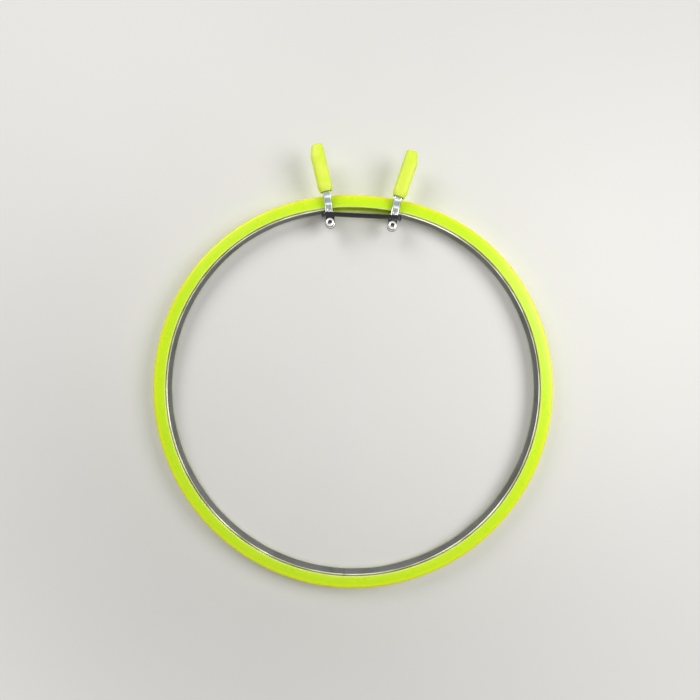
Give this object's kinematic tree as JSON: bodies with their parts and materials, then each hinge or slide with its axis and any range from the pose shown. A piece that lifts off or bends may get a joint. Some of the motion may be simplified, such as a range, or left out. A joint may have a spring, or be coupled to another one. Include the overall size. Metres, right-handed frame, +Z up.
{
  "type": "embroidery hoop",
  "caption": "Embroidery hoop with a plastic outer ring and a sprung steel inner ring that shrinks and lifts out when its sleeved levers are squeezed.",
  "frame": {"origin": "middle of the whole outline, levers included, on the surface that the hoop lies on; the rings' own centre is 10.1 mm towards -Y", "axes": "+Y from the rings' centre towards the clamp, +Z up, square to the rings, on the side that the levers are on"},
  "size_m": [0.216, 0.2362, 0.0179],
  "materials": {
    "ring_plastic": "glossy moulded, fluorescent yellow-green",
    "band_steel": "nickel-plated spring steel strip",
    "lever_steel": "nickel-plated pressed steel",
    "pin_steel": "bright turned steel",
    "rivet_steel": "bright nickel-plated hollow rivet",
    "link_steel": "blackened pressed steel, satin",
    "sleeve_vinyl": "soft satin vinyl, fluorescent yellow-green"
  },
  "bodies": {
    "outer_hoop": {"outer_ring": "ring_plastic"},
    "inner_ring": {"band_middle": "band_steel", "link_bar": "link_steel", "pivot_rivet_left": "rivet_steel", "pivot_rivet_right": "rivet_steel"},
    "spring_left": {"band_left": "band_steel"},
    "spring_right": {"band_right": "band_steel"},
    "lever_left": {"arm_left": "lever_steel", "grip_left": "sleeve_vinyl", "band_pin_left": "pin_steel"},
    "lever_right": {"arm_right": "lever_steel", "grip_right": "sleeve_vinyl", "band_pin_right": "pin_steel"}
  },
  "joints": [
    {"name": "lift_out", "type": "slide", "parent": "outer_hoop", "child": "inner_ring", "axis": [0, 0, 1], "range_m": [0, 0.06]},
    {"name": "squeeze_left", "type": "hinge", "parent": "inner_ring", "child": "lever_left", "pos_m": [-0.01651, 0.07746, 0.011], "axis": [0, 0, -1], "range_deg": [0, 25], "stiffness_Nm_per_rad": 0.5, "springref_deg": -11.46},
    {"name": "squeeze_right", "type": "hinge", "parent": "inner_ring", "child": "lever_right", "pos_m": [0.01651, 0.07746, 0.011], "axis": [0, 0, 1], "range_deg": [0, 25], "stiffness_Nm_per_rad": 0.5, "springref_deg": -11.46},
    {"name": "flex_left", "type": "hinge", "parent": "inner_ring", "child": "spring_left", "pos_m": [-0.02795, -0.10757, 0.00475], "axis": [0, 0, -1], "range_deg": [0, 0.9]},
    {"name": "flex_right", "type": "hinge", "parent": "inner_ring", "child": "spring_right", "pos_m": [0.02795, -0.10757, 0.00475], "axis": [0, 0, 1], "range_deg": [0, 0.9]}
  ],
  "couplings": [
    {"joint": "squeeze_right", "follows": "squeeze_left", "ratio": 1},
    {"joint": "flex_left", "follows": "squeeze_left", "ratio": 0.0356},
    {"joint": "flex_right", "follows": "squeeze_left", "ratio": 0.0356}
  ]
}
